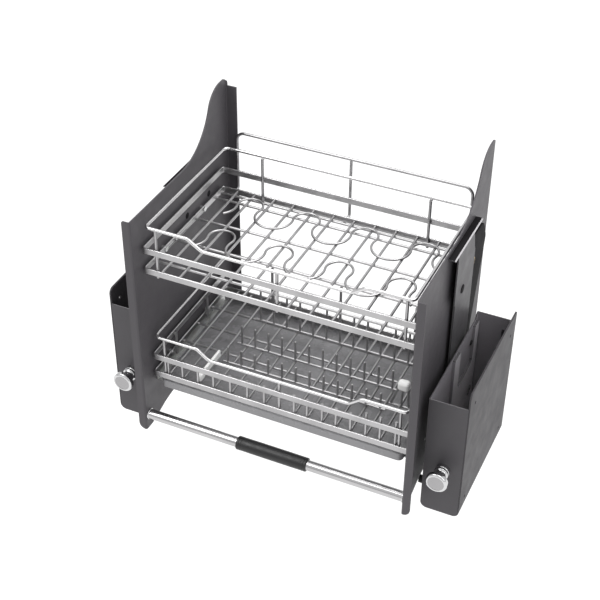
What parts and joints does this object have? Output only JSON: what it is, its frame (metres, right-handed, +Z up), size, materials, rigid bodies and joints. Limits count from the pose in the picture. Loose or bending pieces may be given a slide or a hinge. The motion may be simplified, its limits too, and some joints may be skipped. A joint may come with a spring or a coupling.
{
  "type": "pull_down_dish_rack",
  "caption": "Pull-down dish rack for a wall cabinet: wire baskets between dark sheet side panels on parallel arms that swing out from two spring housings.",
  "frame": {"origin": "centre of the bounding box in plan, at the level of the undersides of the two side housings", "axes": "+X to the right along the width, +Y to the back of the cabinet, +Z up; the rack is in its raised position"},
  "size_m": [0.564, 0.293, 0.4809],
  "materials": {
    "panel_paint": "satin",
    "housing_paint": "satin",
    "arm_paint": "satin",
    "rear_arm_paint": "satin",
    "inner_primer": "matt",
    "zinc_steel": "satin",
    "wire_chrome": "satin",
    "bright_chrome": "polished",
    "spring_steel": "oiled",
    "grip_rubber": "matt",
    "stop_rubber": "matt",
    "white_plastic": "satin",
    "bush_plastic": "matt",
    "bronze_bush": "oiled",
    "tray_plastic": "satin, slightly translucent"
  },
  "bodies": {
    "housings": {"mounting_plate_right": "housing_paint", "mounting_plate_left": "housing_paint", "housing_cover_right": "housing_paint", "housing_cover_left": "housing_paint", "cover_screws": "zinc_steel", "bearing_brackets": "inner_primer", "shaft_bushes": "bronze_bush", "aux_pivot_pins": "zinc_steel", "aux_pivot_spacers": "zinc_steel", "raised_bumpers": "stop_rubber", "lowered_bumpers": "stop_rubber", "adjuster_bushes": "bright_chrome", "lift_springs_right": "spring_steel", "lift_springs_left": "spring_steel"},
    "main_arms": {"main_arm_right": "arm_paint", "main_arm_left": "arm_paint", "main_shafts": "zinc_steel", "shaft_spacers": "zinc_steel", "spring_levers": "rear_arm_paint", "lever_pins": "zinc_steel"},
    "aux_arms": {"aux_arm_right": "rear_arm_paint", "aux_arm_left": "rear_arm_paint", "aux_arm_bushes": "bronze_bush"},
    "tray": {"drip_tray": "tray_plastic"},
    "knob_right": {"adjuster_knob_right": "bright_chrome", "adjuster_screw_right": "zinc_steel"},
    "knob_left": {"adjuster_knob_left": "bright_chrome", "adjuster_screw_left": "zinc_steel"},
    "carriage_right": {"spring_carriage_right": "zinc_steel"},
    "carriage_left": {"spring_carriage_left": "zinc_steel"},
    "rack": {"side_panel_right": "panel_paint", "side_panel_left": "panel_paint", "arm_bracket_right": "arm_paint", "arm_bracket_left": "arm_paint", "main_upper_pins": "rear_arm_paint", "aux_upper_pins": "rear_arm_paint", "handle_screws": "zinc_steel", "basket_spacers": "zinc_steel", "basket_screws": "zinc_steel", "runner_screws": "zinc_steel", "tray_runner_right": "zinc_steel", "tray_runner_left": "zinc_steel", "handle_tube": "bright_chrome", "handle_ferrules": "bright_chrome", "handle_grip": "grip_rubber", "upper_basket_rim": "wire_chrome", "upper_basket_middle_band": "wire_chrome", "upper_basket_lower_band": "wire_chrome", "upper_basket_posts": "wire_chrome", "upper_basket_floor": "wire_chrome", "upper_back_guard": "wire_chrome", "bowl_rails": "wire_chrome", "lower_basket_rim": "wire_chrome", "lower_basket_middle_band": "wire_chrome", "lower_basket_lower_band": "wire_chrome", "lower_basket_posts": "wire_chrome", "lower_basket_floor": "wire_chrome", "plate_combs": "wire_chrome", "plate_end_frames": "wire_chrome", "plate_end_caps": "white_plastic"}
  },
  "joints": [
    {"name": "arm_swing", "type": "hinge", "parent": "housings", "child": "main_arms", "pos_m": [0, 0.0105, 0.0804], "axis": [1, 0, 0], "range_deg": [0, 100], "stiffness_Nm_per_rad": 6, "deforming": ["lift_springs_right", "lift_springs_left"]},
    {"name": "aux_arm_swing", "type": "hinge", "parent": "housings", "child": "aux_arms", "pos_m": [0, 0.0785, 0.0804], "axis": [1, 0, 0], "range_deg": [0, 100]},
    {"name": "rack_level", "type": "hinge", "parent": "main_arms", "child": "rack", "pos_m": [0, 0.0105, 0.3154], "axis": [1, 0, 0], "range_deg": [-100, 0]},
    {"name": "tray_slide", "type": "slide", "parent": "rack", "child": "tray", "axis": [0, -1, 0], "range_m": [0, 0.2]},
    {"name": "knob_turn_right", "type": "hinge", "parent": "housings", "child": "knob_right", "pos_m": [0.253, -0.1047, 0.0859], "axis": [0, 1, 0], "range_deg": [-720.5, 720.5]},
    {"name": "carriage_slide_right", "type": "slide", "parent": "housings", "child": "carriage_right", "axis": [0, 1, 0], "range_m": [-0.006, 0.006]},
    {"name": "knob_turn_left", "type": "hinge", "parent": "housings", "child": "knob_left", "pos_m": [-0.253, -0.1047, 0.0859], "axis": [0, 1, 0], "range_deg": [-720.5, 720.5]},
    {"name": "carriage_slide_left", "type": "slide", "parent": "housings", "child": "carriage_left", "axis": [0, 1, 0], "range_m": [-0.006, 0.006]}
  ],
  "couplings": [
    {"joint": "aux_arm_swing", "follows": "arm_swing", "ratio": 1},
    {"joint": "rack_level", "follows": "arm_swing", "ratio": -1},
    {"joint": "knob_turn_right", "follows": "carriage_slide_right", "rad_per_m": 2094.4},
    {"joint": "knob_turn_left", "follows": "carriage_slide_left", "rad_per_m": 2094.4}
  ]
}
